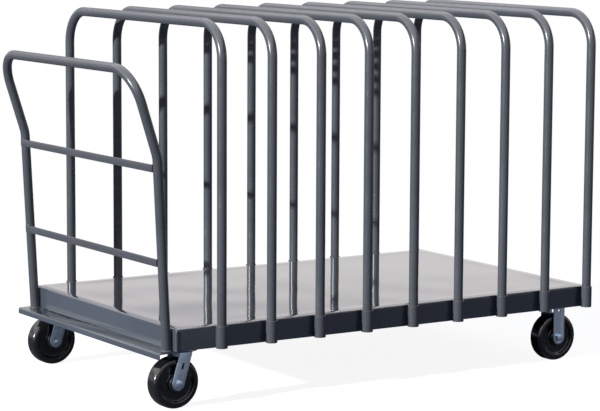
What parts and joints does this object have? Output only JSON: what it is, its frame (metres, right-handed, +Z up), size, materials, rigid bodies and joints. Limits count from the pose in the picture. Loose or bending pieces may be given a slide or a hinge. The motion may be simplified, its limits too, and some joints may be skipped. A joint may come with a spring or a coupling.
{
  "type": "panel cart",
  "caption": "Steel platform cart with a folded deck, a bent push handle, and lift-out tube hoops that keep sheets and panels standing on edge.",
  "frame": {"origin": "middle of the cart's footprint, on the floor", "axes": "+X along the deck, away from the push handle; +Z up; -Y is the side nearest the viewer"},
  "size_m": [1.6628, 0.9826, 1.1331],
  "materials": {
    "enamel": "gloss baked enamel",
    "zinc": "bright zinc plate",
    "wheel": "moulded black phenolic",
    "bronze": "plain sintered bushing"
  },
  "bodies": {
    "chassis": {"deck_pan": "enamel", "bolster_swivel": "enamel", "bolster_rigid": "enamel", "deck_stiffener": "enamel", "bumper": "enamel", "handle_tube": "enamel", "handle_crossbar_lower": "enamel", "handle_crossbar_upper": "enamel", "socket_near_1": "enamel", "socket_near_2": "enamel", "socket_near_3": "enamel", "socket_near_4": "enamel", "socket_near_5": "enamel", "socket_near_6": "enamel", "socket_near_7": "enamel", "socket_near_8": "enamel", "socket_near_9": "enamel", "socket_far_1": "enamel", "socket_far_2": "enamel", "socket_far_3": "enamel", "socket_far_4": "enamel", "socket_far_5": "enamel", "socket_far_6": "enamel", "socket_far_7": "enamel", "socket_far_8": "enamel", "socket_far_9": "enamel", "swivel_near_plate": "zinc", "swivel_near_bearing": "zinc", "rigid_near_frame": "zinc", "rigid_near_axle": "zinc", "swivel_far_plate": "zinc", "swivel_far_bearing": "zinc", "rigid_far_frame": "zinc", "rigid_far_axle": "zinc"},
    "hoop_1_body": {"hoop_1": "enamel"},
    "hoop_2_body": {"hoop_2": "enamel"},
    "hoop_3_body": {"hoop_3": "enamel"},
    "hoop_4_body": {"hoop_4": "enamel"},
    "hoop_5_body": {"hoop_5": "enamel"},
    "hoop_6_body": {"hoop_6": "enamel"},
    "hoop_7_body": {"hoop_7": "enamel"},
    "hoop_8_body": {"hoop_8": "enamel"},
    "hoop_9_body": {"hoop_9": "enamel"},
    "swivel_near_body": {"swivel_near_fork": "zinc", "swivel_near_kingpin": "zinc", "swivel_near_axle": "zinc"},
    "swivel_near_wheel_body": {"swivel_near_wheel": "wheel", "swivel_near_bush": "bronze"},
    "rigid_near_wheel_body": {"rigid_near_wheel": "wheel", "rigid_near_bush": "bronze"},
    "swivel_far_body": {"swivel_far_fork": "zinc", "swivel_far_kingpin": "zinc", "swivel_far_axle": "zinc"},
    "swivel_far_wheel_body": {"swivel_far_wheel": "wheel", "swivel_far_bush": "bronze"},
    "rigid_far_wheel_body": {"rigid_far_wheel": "wheel", "rigid_far_bush": "bronze"}
  },
  "joints": [
    {"name": "hoop_1_lift", "type": "slide", "parent": "chassis", "child": "hoop_1_body", "axis": [0, 0, 1], "range_m": [0, 0.075]},
    {"name": "hoop_2_lift", "type": "slide", "parent": "chassis", "child": "hoop_2_body", "axis": [0, 0, 1], "range_m": [0, 0.075]},
    {"name": "hoop_3_lift", "type": "slide", "parent": "chassis", "child": "hoop_3_body", "axis": [0, 0, 1], "range_m": [0, 0.075]},
    {"name": "hoop_4_lift", "type": "slide", "parent": "chassis", "child": "hoop_4_body", "axis": [0, 0, 1], "range_m": [0, 0.075]},
    {"name": "hoop_5_lift", "type": "slide", "parent": "chassis", "child": "hoop_5_body", "axis": [0, 0, 1], "range_m": [0, 0.075]},
    {"name": "hoop_6_lift", "type": "slide", "parent": "chassis", "child": "hoop_6_body", "axis": [0, 0, 1], "range_m": [0, 0.075]},
    {"name": "hoop_7_lift", "type": "slide", "parent": "chassis", "child": "hoop_7_body", "axis": [0, 0, 1], "range_m": [0, 0.075]},
    {"name": "hoop_8_lift", "type": "slide", "parent": "chassis", "child": "hoop_8_body", "axis": [0, 0, 1], "range_m": [0, 0.075]},
    {"name": "hoop_9_lift", "type": "slide", "parent": "chassis", "child": "hoop_9_body", "axis": [0, 0, 1], "range_m": [0, 0.075]},
    {"name": "swivel_near_turn", "type": "hinge", "parent": "chassis", "child": "swivel_near_body", "pos_m": [-0.62242, -0.3912, 0.1715], "axis": [0, 0, 1], "continuous": true},
    {"name": "swivel_near_wheel_spin", "type": "hinge", "parent": "swivel_near_body", "child": "swivel_near_wheel_body", "pos_m": [-0.66687, -0.3912, 0.0762], "axis": [0, 1, 0], "continuous": true},
    {"name": "rigid_near_wheel_spin", "type": "hinge", "parent": "chassis", "child": "rigid_near_wheel_body", "pos_m": [0.74518, -0.3912, 0.0762], "axis": [0, 1, 0], "continuous": true},
    {"name": "swivel_far_turn", "type": "hinge", "parent": "chassis", "child": "swivel_far_body", "pos_m": [-0.62242, 0.3912, 0.1715], "axis": [0, 0, 1], "continuous": true},
    {"name": "swivel_far_wheel_spin", "type": "hinge", "parent": "swivel_far_body", "child": "swivel_far_wheel_body", "pos_m": [-0.66687, 0.3912, 0.0762], "axis": [0, 1, 0], "continuous": true},
    {"name": "rigid_far_wheel_spin", "type": "hinge", "parent": "chassis", "child": "rigid_far_wheel_body", "pos_m": [0.74518, 0.3912, 0.0762], "axis": [0, 1, 0], "continuous": true}
  ]
}
